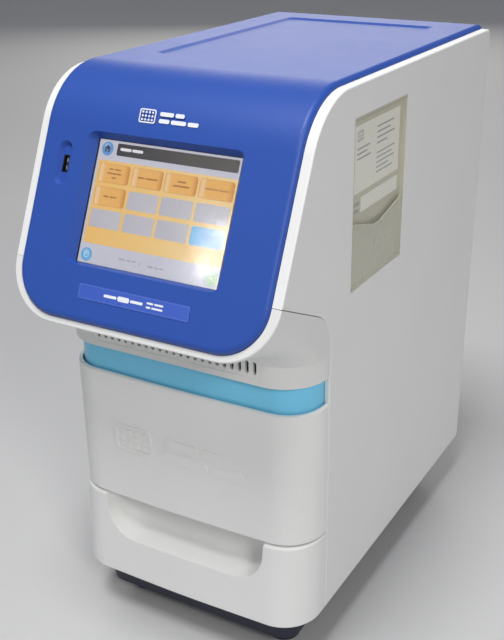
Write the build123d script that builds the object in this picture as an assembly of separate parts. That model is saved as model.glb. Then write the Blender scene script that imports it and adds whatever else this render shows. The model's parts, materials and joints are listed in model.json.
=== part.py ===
from build123d import *
import math
import os

# Thermal cycler with fluorescence optics: tall narrow bench instrument, front towards -Y, +Z up.
# The origin is the middle of the footprint on the bench. Millimetres.

# ---- housing, driving dimensions ----
HALF_W = 123.0            # half of the 246 width
REAR_Y = 226.0            # rear edge of the side panels
BODY_Z = 49.0             # underside of the body
RIM_TOP = 511.0           # top edge of the side panels' white rim
PROUD = 4.0               # how far the blue cover stands proud of the rim
FACE_TILT = 25.5          # screen face leans back from vertical
GLASS_Y = -179.3          # centre of the touch glass
GLASS_Z = 420.8
RIM_D = 4.0               # rim surface, outward of the glass surface
COVER_D = RIM_D + PROUD   # blue surface, outward of the glass surface
RIM_BEND = 64.0           # bend radius of the rim between top and face
RIM_W = 8.0               # width of the rim beside the cover
RIM_BOTTOM_W = 5.2        # width of the rim under the cover
FACE_BOTTOM = -101.2      # lower edge of the rim, along the face from the glass centre
NOTCH = -53.6             # joint between side panel rim and chin rim, along the face
FRONT_EDGE_Y = -124.8     # vertical front edge of the side panels
SEAM_R = 38.0             # bend of the side seam
SEAM = 0.4                # fixed seam width
SKIN = 3.0                # moulded wall

CHIN_Z = 284.8            # lower edge of the chin
NECK_Z = 304.0            # where the chin starts to sweep forward
NECK_Y = -167.0           # front of the neck
NECK_R = 39.0             # its vertical corners
VENTS = 23
VENT_PITCH = 7.0
VENT_LOW = 294.0
DRAWER_TOP = 259.8
DRAWER_BOTTOM = 133.6
LOWER_TOP = 132.2
CORNER_R = 36.0           # vertical front corners
DRAWER_GAP = 0.9
LOWER_FRONT_Y = (-174.5, -170.5)         # front of the lower panel at its bottom and top
DRAWER_FRONT_Y = (-168.2, -167.2)        # front of the drawer at its bottom and top
COVER_TOP = RIM_TOP + PROUD
PLINTH_INSET = 18.0
FLOOR_Z = BODY_Z + 2.0    # top of the base plate
LCD_W, LCD_H = 130.56, 97.92             # active area of a 6.4 inch 4:3 panel
USB_X, USB_S = -90.5, 25.0               # service socket, across and up the face
POCKET = (-89.5, 15.5, 344.0, 486.0)     # label pocket in the right panel: y0, y1, z0, z1
POCKET_FLOOR_X = HALF_W - 4.5
MARK_AT = (-49.0, 198.5)                 # raised mark on the drawer, x and z of the plate outline
MARK_BACK_Y = -164.6

# ---- mechanism, driving dimensions ----
BLOCK_Y = -45.0           # centre of the sample block
BLOCK_TOP = 266.0
WELL_PITCH = 9.0
RAIL_Z = 180.0
RAIL_HALF = 18.0
RAIL_WEB = 112.6          # outer face of the fixed rails
FRAME_X = 112.6           # inner face of the sheet-metal frame walls
SHELF_Z = 304.0           # underside of the optics shelf
BEAM_Z = 371.0            # height of the light beam
FAN_X = 42.0
FAN_Z = 190.0
WHEEL_X, WHEEL_Y, WHEEL_Z = 21.0, -25.0, 434.0
FILTER_R = 29.0           # circle of the filters on the wheel
FILTER_TURN = -46.4       # puts one filter under the camera
COVER_LIFT_RODS = [(x, BLOCK_Y + dy) for x in (-72.0, 72.0) for dy in (-48.0, 48.0)]

# ---- rear, driving dimensions ----
REAR_PLATE_Y = 221.5      # outer face of the rear panel
INLET_X, INLET_Z, SWITCH_Z = 78.0, 86.0, 128.0
ETHERNET_X, USB_REAR_X, SERIAL_X, PORT_Z = -30.0, -58.0, -90.0, 86.0
SCREWS = [(x, z) for x in (-110.0, 110.0) for z in (62.0, 140.0, 250.0, 360.0, 490.0)]
SWITCH_TILT = 8.0         # the rocker's lean in its off position
SWITCH_PIVOT_Y = REAR_PLATE_Y - 3.5

SIN, COS = math.sin(math.radians(FACE_TILT)), math.cos(math.radians(FACE_TILT))

os.makedirs("parts", exist_ok=True)


# ---- helpers ----
def rounded(points):
    """Closed face from corners (a, b, radius), each rounded by a tangent arc."""
    count, edges, ends = len(points), [], []
    for i, (a, b, r) in enumerate(points):
        here = Vector(a, b)
        back = (Vector(*points[i - 1][:2]) - here).normalized()
        ahead = (Vector(*points[(i + 1) % count][:2]) - here).normalized()
        if r == 0:
            ends.append((here, here))
            continue
        half = math.acos(back.dot(ahead)) / 2
        inward = (back + ahead).normalized()
        first = here + back * (r / math.tan(half))
        last = here + ahead * (r / math.tan(half))
        edges.append(ThreePointArc(first, here + inward * (r / math.sin(half) - r), last))
        ends.append((first, last))
    for i in range(count):
        start, stop = ends[i][1], ends[(i + 1) % count][0]
        if (stop - start).length > 1e-6:
            edges.append(Line(start, stop))
    return make_face(edges)


def block(x0, x1, y0, y1, z0, z1):
    """Box between two corners."""
    return Pos((x0 + x1) / 2, (y0 + y1) / 2, (z0 + z1) / 2) * Box(x1 - x0, y1 - y0, z1 - z0)


def both_sides(shape):
    """The shape and its mirror image across the middle plane."""
    return [shape, mirror(shape, about=Plane.YZ)]


def face_plane(d):
    """Plane parallel to the screen glass, d outward of it; local y runs up the face."""
    origin = (0, GLASS_Y - d * COS, GLASS_Z + d * SIN)
    return Plane(origin=origin, x_dir=(1, 0, 0), z_dir=(0, -COS, SIN))


def on_face(s, d):
    """(y, z) of the point s up the face and d outward of the glass."""
    return GLASS_Y - d * COS + s * SIN, GLASS_Z + d * SIN + s * COS


def bend_corner(d):
    """(y, z) where the top surface and the face surface at offset d would meet."""
    z = RIM_TOP + d - RIM_D
    return on_face((z - GLASS_Z - d * SIN) / COS, d)


def wrap_band(d_out, d_in, s_low, rear_y):
    """Side view of a band that runs along the top, round the bend and down the face."""
    outer, inner = bend_corner(d_out), bend_corner(d_in)
    radius = RIM_BEND - RIM_D
    return rounded([
        (rear_y, RIM_TOP + d_out - RIM_D, 0),
        (*outer, radius + d_out),
        (*on_face(s_low, d_out), 0),
        (*on_face(s_low, d_in), 0),
        (*inner, radius + d_in),
        (rear_y, RIM_TOP + d_in - RIM_D, 0),
    ])


def face_outline(half_w, bottom, corner, top):
    """Outline on the screen face with rounded lower corners."""
    return rounded([
        (-half_w, top, 0),
        (-half_w, bottom, corner),
        (half_w, bottom, corner),
        (half_w, top, 0),
    ])


def plan_outline(half_w, front_y, rear_y, corner, bow=0.0):
    """Outline seen from above: straight rear, rounded front corners, front bowed by bow."""
    side_y = front_y + bow
    corners = [(-half_w, rear_y, 0), (-half_w, side_y, corner), (half_w, side_y, corner), (half_w, rear_y, 0)]
    if bow:
        corners.insert(2, (0, front_y, half_w ** 2 / (4 * bow)))
    return rounded(corners)


def prism(sketch, z0, z1):
    """Sketch seen from above, extruded from z0 to z1."""
    return extrude(Pos(0, 0, z0) * sketch, amount=z1 - z0)


def side_prism(sketch, x0, x1):
    """Sketch in (y, z), extruded from x0 to x1."""
    return extrude(Plane.YZ.offset(x0) * sketch, amount=x1 - x0)


def front_prism(sketch, y0, y1):
    """Sketch in (x, z), extruded from y0 to y1, y0 being nearer the front."""
    plane = Plane(origin=(0, y1, 0), x_dir=(1, 0, 0), z_dir=(0, -1, 0))
    return extrude(plane * sketch, amount=y1 - y0)


def face_prism(sketch, d0, d1):
    """Sketch on the screen face, extruded from offset d0 to offset d1."""
    return extrude(face_plane(d0) * sketch, amount=d1 - d0)


def rod(x, y, z, radius, length, axis="Z"):
    """Cylinder that starts at the point and runs along the axis."""
    turn = {"Z": Rot(0, 0, 0), "Y": Rot(-90, 0, 0), "X": Rot(0, 90, 0)}[axis]
    return Pos(x, y, z) * turn * Pos(0, 0, length / 2) * Cylinder(radius, length)


# ---- housing ----
def side_outline(grow=0.0):
    """Side view of a side panel; grow widens it, and a negative value insets it."""
    top = RIM_TOP + grow
    d = RIM_D + grow
    corner_s = (top - GLASS_Z - d * SIN) / COS
    notch_s = NOTCH - grow
    # the seam runs square to the face, then bends into the vertical front edge
    front = FRONT_EDGE_Y - grow
    run = (front - on_face(notch_s, 0)[0]) / COS
    return rounded([
        (REAR_Y + grow, BODY_Z - grow, 5 if grow == 0 else 0),
        (REAR_Y + grow, top, 6 + grow),
        (*on_face(corner_s, d), RIM_BEND + grow),
        (*on_face(notch_s, d), 0),
        (front, on_face(notch_s, 0)[1] - run * SIN, SEAM_R - grow),
        (front, BODY_Z - grow, 0),
    ])


def side_panel():
    rim_x = HALF_W - RIM_W
    panel = side_prism(side_outline(), rim_x, HALF_W)
    outer_edges = [e for e in panel.edges() if abs(e.center().X - HALF_W) < 0.01]
    panel = fillet(outer_edges, 1.4)
    panel -= side_prism(side_outline(-4.0), rim_x - 1, HALF_W - SKIN)
    # the front flange is narrow so that the drawer's upstand passes
    panel -= block(rim_x - 1, HALF_W - 4.4, FRONT_EDGE_Y - 1, FRONT_EDGE_Y + 8, BODY_Z + 4, 300)
    return panel


def side_panel_right():
    y0, y1, z0, z1 = POCKET
    return side_panel() - block(HALF_W - 9, HALF_W + 1, y0, y1, z0, z1)


def top_front_cover():
    half = HALF_W - RIM_W - 0.35
    low = FACE_BOTTOM + RIM_BOTTOM_W + 0.35
    rear = REAR_Y - 3.0
    corner = 40.0
    soft = 4.6
    depth_in = -4.0

    outline = face_prism(face_outline(half, low, corner, 330.0), -420.0, 30.0)
    slab = side_prism(wrap_band(COVER_D, depth_in, low, rear), -half, half) & outline
    edges = []
    for e in slab.edges():
        c = e.center()
        d = -(c.Y - GLASS_Y) * COS + (c.Z - GLASS_Z) * SIN
        on_top = abs(c.Z - RIM_TOP - PROUD) < 0.01
        on_front = abs(d - COVER_D) < 0.01
        on_bend = abs(abs(c.X) - half) < 0.01 and e.geom_type == GeomType.CIRCLE and c.Z > 480
        outer_bend = on_bend and e.radius > RIM_BEND - RIM_D + 1
        if on_top or on_front or outer_bend:
            if e.length > 1 and not (abs(c.X) < half - 1 and on_top and c.Y < 0):
                edges.append(e)
    bend_lines = [e for e in edges if abs(e.center().X) < 1 and not (
        abs(e.center().Y - rear) < 0.1 or e.center().Z < 340)]
    edges = [e for e in edges if e not in bend_lines]
    slab = fillet(edges, soft)

    inset = 8.0
    hollow = side_prism(wrap_band(COVER_D - SKIN, depth_in - 1, low + inset, rear - inset),
                        -half + inset, half - inset)
    hollow &= face_prism(face_outline(half - inset, low + inset, corner - inset, 330.0), -420.0, 30.0)
    cover = slab - hollow

    # funnel wall round the screen
    cover += face_prism(Pos(0, 0.8) * RectangleRounded(150, 112.5, 8), 0.6, COVER_D - SKIN + 0.5)
    mouth = face_plane(COVER_D + 0.05) * Pos(0, 0.8) * RectangleRounded(142.0, 105.2, 7.0)
    throat = face_plane(0.55) * RectangleRounded(131.4, 98.8, 1.2)
    cover -= loft([throat.face(), mouth.face()], ruled=True)
    # stadium recess with the service socket's slot
    usb_at = Pos(USB_X, USB_S)
    cover += face_prism(usb_at * RectangleRounded(22, 46, 6), 1.5, COVER_D - SKIN + 0.5)
    upper = face_plane(COVER_D + 0.05) * usb_at * Rot(0, 0, 90) * SlotOverall(35.5, 13.0)
    lower = face_plane(COVER_D - 3.4) * usb_at * Rot(0, 0, 90) * SlotOverall(30.0, 8.4)
    cover -= loft([lower.face(), upper.face()], ruled=True)
    cover -= face_prism(usb_at * Rectangle(5.9, 14.0), 0, COVER_D)
    # shallow pan in the top
    x_pan, y0, y1 = 80.0, -60.0, 187.0
    floor = Pos(0, (y0 + y1) / 2, COVER_TOP - 1.6) * RectangleRounded(2 * x_pan - 8, y1 - y0 - 8, 6)
    brim = Pos(0, (y0 + y1) / 2, COVER_TOP + 0.01) * RectangleRounded(2 * x_pan, y1 - y0, 8)
    cover -= loft([floor.face(), brim.face()], ruled=True)
    return cover


def chin_sections(inset):
    """Three sections of the chin from its neck to the back of the rim, inset by a wall."""
    rear_gap = 0.0 if inset == 0 else -6.0
    rear = FRONT_EDGE_Y - SEAM - rear_gap
    half = HALF_W - inset
    rim_low = on_face(FACE_BOTTOM, 0)
    rim_high = on_face(NOTCH - SEAM, 0)
    neck = Plane(origin=(0, 0, NECK_Z)) * plan_outline(half, NECK_Y + inset, rear, NECK_R - inset)
    rim = face_plane(0.0) * face_outline(half, FACE_BOTTOM + inset, 46.4 - inset,
                                         NOTCH - SEAM - rear_gap)
    # the middle section pulls the underside in, so that it sweeps forward in a cove
    cove = 9.0
    high = Vector(0, (FRONT_EDGE_Y - SEAM + rim_high[0]) / 2, (NECK_Z + rim_high[1]) / 2)
    low = Vector(0, (NECK_Y + rim_low[0]) / 2, (NECK_Z + rim_low[1]) / 2)
    along = Vector(0, NECK_Y - rim_low[0], NECK_Z - rim_low[1]).normalized()
    low += Vector(0, -along.Z, along.Y) * cove
    up = (high - low).normalized()
    plane = Plane(origin=low, x_dir=(1, 0, 0), z_dir=(0, -up.Z, up.Y))
    span = (high - low).length
    middle = plane * face_outline(half, inset, 29.0 - inset, span - rear_gap)
    return [neck.face(), middle.face(), rim.face()]


def chin_cover():
    rear = FRONT_EDGE_Y - SEAM
    outer = loft(chin_sections(0.0))
    inner = loft(chin_sections(SKIN))
    neck_out = prism(plan_outline(HALF_W, NECK_Y, rear, NECK_R), CHIN_Z, NECK_Z)
    neck_in = prism(plan_outline(HALF_W - SKIN, NECK_Y + SKIN, rear + 1, NECK_R - SKIN),
                    CHIN_Z - 1, NECK_Z)
    low = FACE_BOTTOM + RIM_BOTTOM_W
    ring = face_prism(face_outline(HALF_W, FACE_BOTTOM, 46.4, NOTCH - SEAM), 0.0, RIM_D)
    lip = [e for e in ring.edges() if abs(
        -(e.center().Y - GLASS_Y) * COS + (e.center().Z - GLASS_Z) * SIN - RIM_D) < 0.01]
    lip = [e for e in lip if (e.center().Z - on_face(NOTCH - SEAM, RIM_D)[1]) < -0.5]
    ring = fillet(lip, 1.4)
    ring -= face_prism(face_outline(HALF_W - RIM_W, low, 40.0, 0.0), -1.0, RIM_D + 1)
    chin = (outer + neck_out) - (inner + neck_in)
    chin += ring
    # flat side gussets up to the seam
    seam_start = on_face(NOTCH - SEAM, 0)
    run = (rear - seam_start[0]) / COS
    gusset = rounded([
        (*on_face(NOTCH - SEAM, 0.0), 0),
        (rear, seam_start[1] - run * SIN, SEAM_R - SEAM),
        (rear, NECK_Z, 0),
    ])
    for side in both_sides(side_prism(gusset, HALF_W - SKIN, HALF_W)):
        chin += side
    # row of air slots and the fine line round their panel
    for i in range(VENTS):
        x = VENT_PITCH * (i - (VENTS - 1) / 2)
        slot = Pos(x, VENT_LOW + 6.0) * Rot(0, 0, 90) * SlotOverall(12.0, 3.2)
        chin -= front_prism(slot, -192.0, -158.0)
    line = Pos(0, 312.0) * RectangleRounded(167.0, 43.0, 5.0)
    line -= Pos(0, 312.0) * RectangleRounded(166.0, 42.0, 4.5)
    groove = NECK_Y + 0.3
    chin -= front_prism(line, -190.0, groove) & block(-100, 100, -190, groove, 280, NECK_Z - 1)
    return chin


def front_shell(z0, z1, front0, front1, rear, wall, bow=2.6):
    """Bowed front moulding between two heights, open behind."""
    low = Pos(0, 0, z0) * plan_outline(HALF_W, front0, rear, CORNER_R, bow)
    high = Pos(0, 0, z1) * plan_outline(HALF_W, front1, rear, CORNER_R, bow)
    solid = loft([low.face(), high.face()], ruled=True)
    inner = [Pos(0, 0, z) * plan_outline(HALF_W - wall, front + wall, rear + 1, CORNER_R - wall, bow)
             for z, front in ((z0 - 1, front0), (z1 + 1, front1))]
    return solid, loft([sketch.face() for sketch in inner], ruled=True)


def soften(solid, z, radius):
    """Round the outer edges of a front moulding at height z."""
    edges = [e for e in solid.edges() if abs(e.center().Z - z) < 0.01
             and abs(e.center().Y - (FRONT_EDGE_Y - SEAM)) > 1.0
             and abs(e.center().Y - (FRONT_EDGE_Y - DRAWER_GAP)) > 1.0]
    return fillet(edges, radius)


def lower_front_panel():
    solid, hollow = front_shell(BODY_Z, LOWER_TOP, *LOWER_FRONT_Y, FRONT_EDGE_Y - SEAM, 3.5)
    solid = soften(solid, LOWER_TOP, 2.2)
    solid = soften(solid, BODY_Z, 1.5)
    hollow -= block(-130, 130, -190, -100, LOWER_TOP - 2.5, LOWER_TOP + 3)
    hollow -= block(-130, 130, -190, -100, BODY_Z - 3, FLOOR_Z)
    panel = solid - hollow
    # finger scoop: a notch in the top edge with a coved bucket behind it
    scoop = rounded([(-84.5, 145.0, 0), (-81.5, 90.5, 30), (81.5, 90.5, 30), (84.5, 145.0, 0)])
    bucket = rounded([(-88.0, 131.0, 0), (-84.5, 87.3, 32), (84.5, 87.3, 32), (88.0, 131.0, 0)])
    inside = front_prism(scoop, -190.0, -137.0)
    rear_edges = [e for e in inside.edges() if abs(e.center().Y + 137.0) < 0.01 and e.center().Z < 140]
    inside = fillet(rear_edges, 22.0)
    outside = front_prism(bucket, -180.0, -133.5)
    rear_edges = [e for e in outside.edges() if abs(e.center().Y + 133.5) < 0.01 and e.center().Z < 130]
    outside = fillet(rear_edges, 24.0)
    outside &= solid
    return (panel + outside) - inside


def emblem_sketch():
    """Generic mark: a plate outline with wells, and two lines of plain bars."""
    mark = RectangleRounded(40, 26, 5) - RectangleRounded(35, 21, 2.8)
    for column in range(4):
        for row in range(3):
            mark += Pos(-12.0 + 8.0 * column, -6.6 + 6.6 * row) * Circle(2.2)
    for x, z, length in ((52, 7, 34), (81, 7, 18), (54, -7, 48), (97, -7, 32)):
        mark += Pos(x, z) * RectangleRounded(length, 9, 3.6)
    return mark


def drawer_front():
    rear = FRONT_EDGE_Y - DRAWER_GAP
    wall = 3.4
    solid, hollow = front_shell(DRAWER_BOTTOM, DRAWER_TOP, *DRAWER_FRONT_Y, rear, wall)
    mark = front_prism(Pos(*MARK_AT) * emblem_sketch(), -180, MARK_BACK_Y)
    raised = (Pos(0, -1.1, 0) * solid) & mark
    solid = soften(solid, DRAWER_TOP, 1.7)
    solid = soften(solid, DRAWER_BOTTOM, 1.8)
    hollow -= block(-130, 130, -190, -100, DRAWER_BOTTOM - 3, DRAWER_BOTTOM + 3)
    return (solid - hollow) + raised


def rear_panel():
    plate = front_prism(Pos(0, 277.8) * RectangleRounded(236, 448, 4), REAR_PLATE_Y - 2.5, REAR_PLATE_Y)
    # exhaust slots behind the two fans
    for x in (-FAN_X, FAN_X):
        for row in range(9):
            for column in (-1, 1):
                slot = Pos(x + 18.0 * column, FAN_Z - 30 + 7.5 * row) * SlotOverall(32, 3.6)
                plate -= front_prism(slot, REAR_PLATE_Y - 4, REAR_PLATE_Y + 1)
    # upper vent field for the optics bay
    for row in range(8):
        for column in range(4):
            slot = Pos(-60 + 40 * column, 400 + 7.5 * row) * SlotOverall(32, 3.6)
            plate -= front_prism(slot, REAR_PLATE_Y - 4, REAR_PLATE_Y + 1)
    cuts = [
        Pos(INLET_X, INLET_Z) * Rectangle(30.4, 52.4),
        Pos(INLET_X, SWITCH_Z) * Rectangle(13.6, 22.6),
        Pos(ETHERNET_X, PORT_Z) * Rectangle(16.4, 14.4),
        Pos(USB_REAR_X, PORT_Z) * Rectangle(14.9, 16.0),
        Pos(SERIAL_X, PORT_Z) * RectangleRounded(18.0, 9.6, 2),
    ]
    cuts += [Pos(x, z) * Circle(1.65) for x, z in SCREWS]
    for cut in cuts:
        plate -= front_prism(cut, REAR_PLATE_Y - 4, REAR_PLATE_Y + 1)
    return plate


def rear_panel_screws():
    screws = []
    for x, z in SCREWS:
        shank = rod(x, REAR_PLATE_Y - 6, z, 1.5, 6, "Y")
        head = rod(x, REAR_PLATE_Y, z, 3.0, 2.2, "Y")
        head -= block(x - 2.2, x + 2.2, REAR_PLATE_Y + 1.2, REAR_PLATE_Y + 3, z - 0.4, z + 0.4)
        head -= block(x - 0.4, x + 0.4, REAR_PLATE_Y + 1.2, REAR_PLATE_Y + 3, z - 2.2, z + 2.2)
        screws.append(shank + head)
    return Compound(children=screws)


def base_plate():
    plate = block(-114.4, 114.4, FRONT_EDGE_Y - SEAM + 0.2, REAR_PLATE_Y - 2.5, BODY_Z, FLOOR_Z)
    for row in range(10):
        for side in (-1, 1):
            slot = Pos(side * 55, -60 + 14 * row) * SlotOverall(60, 4)
            plate -= prism(slot, 48, 53)
    return plate


def plinth_outline(inset):
    """Footprint inset from the body, with rounded corners all round."""
    front, rear, half = LOWER_FRONT_Y[0] + 1 + inset, REAR_Y - inset, HALF_W - inset
    corner = CORNER_R - inset
    return rounded([(-half, front, corner), (half, front, corner), (half, rear, 14), (-half, rear, 14)])


def base_plinth():
    top, bottom, wall = BODY_Z, 20.0, 3.0
    outer = loft([(Pos(0, 0, bottom) * plinth_outline(PLINTH_INSET + 2.5)).face(),
                  (Pos(0, 0, top) * plinth_outline(PLINTH_INSET)).face()], ruled=True)
    return outer - prism(plinth_outline(PLINTH_INSET + 2.5 + wall), bottom + wall, top + 1)


def rubber_feet():
    feet = []
    for x in (-78.0, 78.0):
        for y in (-120.0, 178.0):
            foot = Pos(x, y, 10) * Cone(15, 17, 20)
            bottom = [e for e in foot.edges() if e.center().Z < 0.01]
            feet.append(fillet(bottom, 1.5))
    return Compound(children=feet)


# ---- screen, front socket, badge ----
def screen_glass():
    return face_prism(RectangleRounded(138, 105.4, 2), -1.1, 0.0)


def screen_gasket():
    return face_prism(RectangleRounded(138, 105.4, 2) - RectangleRounded(131.0, 98.4, 1), 0.0, 0.55)


def lcd_module():
    tray = face_prism(RectangleRounded(146, 112, 2), -9.6, -1.2)
    tray -= face_prism(Rectangle(LCD_W, LCD_H), -2.0, -1.0)
    for x in (-66, 66):
        tray -= face_prism(Pos(x, -52.5) * Circle(1.6), -12, 0)
    return tray


def display_panel():
    return face_prism(Rectangle(LCD_W, LCD_H), -2.0, -1.2)


def display_board():
    board = face_prism(RectangleRounded(150, 100, 3), -16.0, -14.4)
    parts = [(-45, 20, 22, 22, 3), (-5, 20, 18, 12, 2.5), (35, 25, 28, 8, 6), (40, -20, 24, 24, 3),
             (-40, -25, 40, 7, 7), (5, -30, 12, 10, 4)]
    for x, s, w, h, t in parts:
        board += face_prism(Pos(x, s) * Rectangle(w, h), -16.0 - t, -16.0)
    for x in (-70, 70):
        for s in (-45, 45):
            board += face_prism(Pos(x, s) * Circle(3), -14.4, -9.6)
    return board


def front_usb_port():
    at = Pos(USB_X, USB_S)
    port = face_prism(at * Rectangle(5.5, 13.6), -11, COVER_D - 3.6)
    port -= face_prism(at * Rectangle(4.7, 12.8), -8, COVER_D)
    port += face_prism(at * Pos(0.8, 0) * Rectangle(1.9, 11.6), -8, COVER_D - 4.6)
    return port


def badge_plate():
    return face_prism(Pos(0, -71.0) * RectangleRounded(103.0, 12.0, 1.2), COVER_D, COVER_D + 0.4)


# ---- label pocket in the right panel ----
def card_pocket():
    y0, y1, z0, z1 = POCKET
    gap, wall, floor = 0.3, 1.6, POCKET_FLOOR_X
    tray = block(floor - 1.6, HALF_W - 0.4, y0 + gap, y1 - gap, z0 + gap, z1 - gap)
    rim = gap + wall
    opening = block(floor, HALF_W + 1, y0 + rim, y1 - rim, z0 + rim, z1 - rim)
    return tray - opening


def pocket_pouch():
    """Clear front sheet of the lower pouch with a notch cut in its top edge."""
    y0, y1 = POCKET[0] + 2.5, POCKET[1] - 2.5
    z0, z1, z2 = POCKET[2] + 2.2, 402.0, 390.0
    mid = (y0 + y1) / 2
    sheet = rounded([(y0, z0, 2), (y1, z0, 2), (y1, z1 - 2, 1.5), (mid + 6, z2, 8), (mid - 6, z2, 8),
                     (y0, z1, 1.5)])
    front = side_prism(sheet, HALF_W - 1.9, HALF_W - 1.1)
    welt = side_prism(sheet, HALF_W - 1.9, HALF_W - 0.6) - side_prism(offset(sheet, -2.0), HALF_W - 3, HALF_W)
    edge = side_prism(rounded([(y0, z0, 2), (y1, z0, 2), (y1, z2, 2), (y0, z2, 2)]),
                      POCKET_FLOOR_X, HALF_W - 1.9)
    edge -= block(HALF_W - 9, HALF_W, y0 + 2.2, y1 - 2.2, z0 + 2.2, z2 + 1)
    return front + welt + edge


def reference_card():
    y0, y1 = POCKET[0] + 6.0, POCKET[1] - 6.0
    card = rounded([(y0, 349.2, 3), (y1, 349.2, 3), (y1, 388.0, 3), (y0, 388.0, 3)])
    return side_prism(card, POCKET_FLOOR_X + 1.2, POCKET_FLOOR_X + 2.0)


def info_label():
    y0, y1 = POCKET[0] + 10.5, POCKET[1] - 6.0
    label = rounded([(y0, 423.0, 1), (y1, 423.0, 1), (y1, 477.0, 1), (y0, 477.0, 1)])
    return side_prism(label, POCKET_FLOOR_X, POCKET_FLOOR_X + 0.4)


def strip_label():
    y0, y1 = POCKET[0] + 24.5, POCKET[1] - 6.0
    label = rounded([(y0, 405.5, 1), (y1, 405.5, 1), (y1, 418.0, 1), (y0, 418.0, 1)])
    return side_prism(label, POCKET_FLOOR_X, POCKET_FLOOR_X + 0.3)


# ---- rear sockets ----
def power_inlet():
    x, z, y = INLET_X, INLET_Z, REAR_PLATE_Y
    body = front_prism(Pos(x, z) * Rectangle(30, 52), y - 20, y)
    body += front_prism(Pos(x, z) * RectangleRounded(35, 57, 3), y, y + 2)
    mouth = Pos(x, z + 10) * rounded([(-12.2, 8.4, 4), (-12.2, -8.4, 1), (12.2, -8.4, 1), (12.2, 8.4, 4)])
    body -= front_prism(mouth, y - 16, y + 3)
    body -= front_prism(Pos(x, z - 15) * Rectangle(22, 8.0), y - 17, y + 3)
    for dx, dz in ((-7, -1.5), (7, -1.5), (0, 2.5)):
        body += front_prism(Pos(x + dx, z + 10 + dz) * Rectangle(2, 4), y - 16.5, y - 4)
    return body


def fuse_drawer():
    x, z, y = INLET_X, INLET_Z - 15, REAR_PLATE_Y
    drawer = front_prism(Pos(x, z) * Rectangle(21.4, 7.4), y - 16.5, y + 2.4)
    drawer += front_prism(Pos(x, z) * RectangleRounded(26, 10.5, 1), y + 2.3, y + 3.8)
    drawer -= front_prism(Pos(x, z + 1.5) * Rectangle(18, 5.6), y - 14, y - 2)
    return drawer


def power_switch_frame():
    x, z, y = INLET_X, SWITCH_Z, REAR_PLATE_Y
    frame = front_prism(Pos(x, z) * RectangleRounded(18, 27, 2), y, y + 2)
    frame += front_prism(Pos(x, z) * Rectangle(13.2, 22.4), y - 14, y)
    frame -= front_prism(Pos(x, z) * Rectangle(11.2, 21), y - 11, y + 3)
    for side in (-1, 1):
        start = x + (3.2 if side > 0 else -6.4)
        frame += rod(start, SWITCH_PIVOT_Y, z, 1.5, 3.2, "X")
    return frame


def power_rocker():
    profile = rounded([(-4.0, -6.0, 1), (0.0, -9.4, 0), (6.4, -8.6, 0.8), (4.4, 0.0, 6),
                       (6.4, 8.6, 0.8), (0.0, 9.4, 0), (-4.0, 6.0, 1)])
    key = side_prism(profile, INLET_X - 5.2, INLET_X + 5.2)
    key -= rod(INLET_X - 6, 0, 0, 1.55, 12, "X")
    return Pos(0, SWITCH_PIVOT_Y, SWITCH_Z) * Rot(SWITCH_TILT, 0, 0) * key


def ethernet_socket():
    x, z, y = ETHERNET_X, PORT_Z, REAR_PLATE_Y
    socket = front_prism(Pos(x, z) * Rectangle(16, 14), y - 18, y + 0.6)
    socket -= front_prism(Pos(x, z) * Rectangle(11.8, 8.4), y - 13, y + 1)
    socket -= front_prism(Pos(x, z - 5) * Rectangle(6.2, 3.2), y - 13, y + 1)
    for i in range(8):
        socket += block(x - 4.3 + 1.15 * i, x - 3.8 + 1.15 * i, y - 13.2, y - 6, z + 3.4, z + 4.4)
    return socket


def usb_sockets():
    x, z, y = USB_REAR_X, PORT_Z, REAR_PLATE_Y
    socket = front_prism(Pos(x, z) * Rectangle(14.5, 15.6), y - 18, y + 0.6)
    for dz in (-3.8, 3.8):
        socket -= front_prism(Pos(x, z + dz) * Rectangle(12.6, 5.2), y - 12, y + 1)
        socket += front_prism(Pos(x, z + dz + 1.0) * Rectangle(11.0, 1.9), y - 12.5, y - 1)
    return socket


def serial_port():
    x, z, y = SERIAL_X, PORT_Z, REAR_PLATE_Y
    shell = rounded([(-8.6, 4.2, 2.4), (-7.2, -4.2, 2.4), (7.2, -4.2, 2.4), (8.6, 4.2, 2.4)])
    port = front_prism(Pos(x, z) * shell, y - 10, y + 3.6)
    port += front_prism(Pos(x, z) * RectangleRounded(31, 12.6, 2), y, y + 0.8)
    cavity = rounded([(-8.0, 3.6, 2.0), (-6.7, -3.6, 2.0), (6.7, -3.6, 2.0), (8.0, 3.6, 2.0)])
    port -= front_prism(Pos(x, z) * cavity, y - 2, y + 5)
    for i in range(9):
        dx, dz = (-5.54 + 2.77 * i, 1.42) if i < 5 else (-4.15 + 2.77 * (i - 5), -1.42)
        port += rod(x + dx, y - 2.5, z + dz, 0.5, 5.5, "Y")
    for side in (-12.5, 12.5):
        port += rod(x + side, y + 0.5, z, 2.4, 3.2, "Y")
    return port


# ---- structure and electronics ----
def inner_frame():
    frame = None
    walls = both_sides(block(FRAME_X, FRAME_X + 1.5, -112, 218, FLOOR_Z, 470))
    shelf = block(-FRAME_X - 0.2, FRAME_X + 0.2, -108, 218, SHELF_Z, SHELF_Z + 2)
    window = block(-60, 60, BLOCK_Y - 44, BLOCK_Y + 44, SHELF_Z - 1, SHELF_Z + 3)
    cross = block(-FRAME_X - 0.2, FRAME_X + 0.2, -100, 190, 131.0, 132.5)
    for side in walls:
        frame = side if frame is None else frame + side
    frame += shelf - window
    frame += cross
    # lightening windows in the walls above the shelf
    for y in (-40, 50, 140):
        frame -= side_prism(Pos(y, 380) * RectangleRounded(60, 90, 10), -130, 130)
    return frame


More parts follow.
